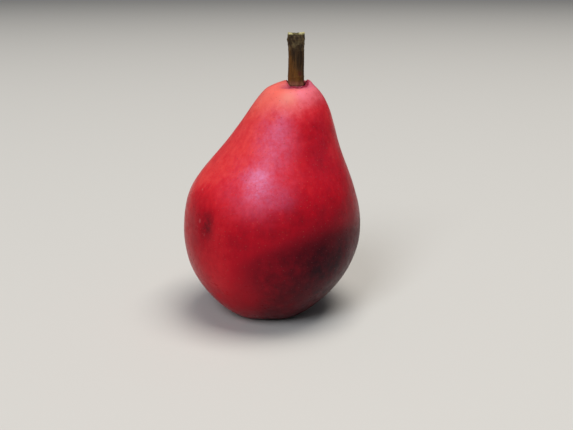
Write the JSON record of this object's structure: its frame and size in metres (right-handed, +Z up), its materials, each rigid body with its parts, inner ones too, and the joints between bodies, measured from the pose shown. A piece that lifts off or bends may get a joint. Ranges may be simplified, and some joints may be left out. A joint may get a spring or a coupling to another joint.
{
  "type": "pear",
  "caption": "Ripe red pear with a leaning neck, a woody stem and a dried calyx in its base; it stands upright on its base.",
  "frame": {"origin": "on the surface that the pear stands on, under the middle of its belly", "axes": "+Z up through the fruit towards the stem; +X towards the side that the neck leans to; -Y is the front"},
  "size_m": [0.08, 0.08, 0.1262],
  "materials": {
    "skin": "smooth waxy skin, orange-red at the crown, crimson on the flank and maroon towards the base, with fine pale dots",
    "stem": "dull ribbed bark, golden brown to grey brown, with a pale torn end",
    "calyx": "dry wrinkled sepals, dark brown"
  },
  "bodies": {
    "root": {"fruit": "skin", "stem": "stem", "calyx": "calyx"}
  },
  "joints": []
}
